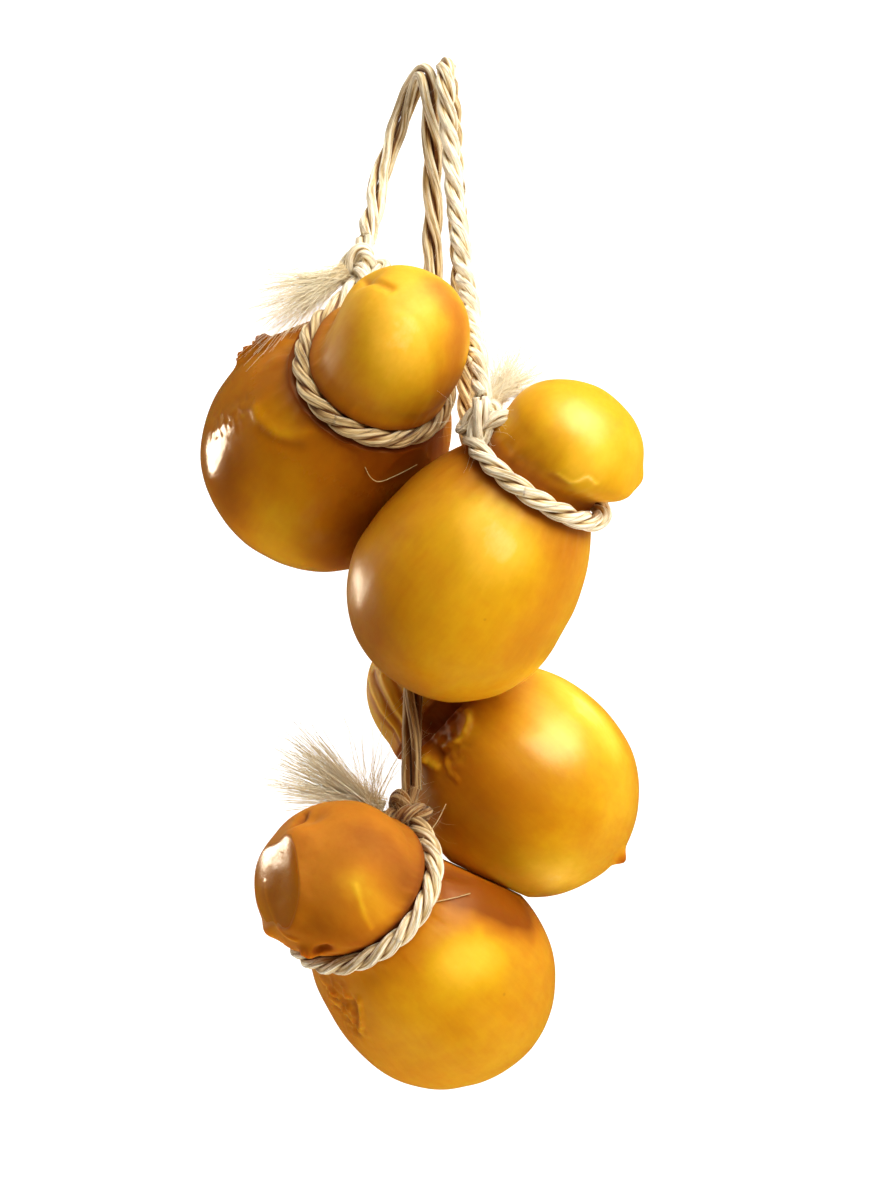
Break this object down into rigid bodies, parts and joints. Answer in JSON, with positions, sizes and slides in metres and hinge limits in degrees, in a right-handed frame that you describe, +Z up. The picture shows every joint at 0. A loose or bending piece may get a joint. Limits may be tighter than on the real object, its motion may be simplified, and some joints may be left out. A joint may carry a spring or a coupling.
{
  "type": "bunch of smoked scamorze",
  "caption": "Bunch of smoked scamorza cheeses with round heads, tied at their necks with twine and laid on its back.",
  "frame": {"origin": "on the surface it lies on, under the middle of the cheeses and their ties, leaving out the two free lengths of twine", "axes": "+Z up from the surface; +Y along the bunch, towards the hanging loop; +X to the right of the side that shows"},
  "size_m": [0.1234, 0.293, 0.1014],
  "materials": {
    "smoked_rind": "smooth translucent smoked rind, satin to glossy, golden where light and amber brown where the smoke took",
    "twine": "undyed three-strand natural fibre twine with loose hairs",
    "frayed_fibre": "loose combed-out natural fibres"
  },
  "bodies": {
    "root": {"scamorza_upper_left": "smoked_rind", "scamorza_centre": "smoked_rind", "scamorza_lower_right": "smoked_rind", "scamorza_bottom": "smoked_rind", "neck_tie_upper_left": "twine", "neck_tie_centre": "twine", "neck_tie_lower_right": "twine", "neck_tie_bottom": "twine", "frayed_end_upper_left": "frayed_fibre", "frayed_end_centre": "frayed_fibre", "frayed_end_lower_right": "frayed_fibre", "frayed_end_bottom": "frayed_fibre", "twine_upper_left_to_bottom": "twine", "twine_centre_to_lower_right": "twine"}
  },
  "joints": []
}
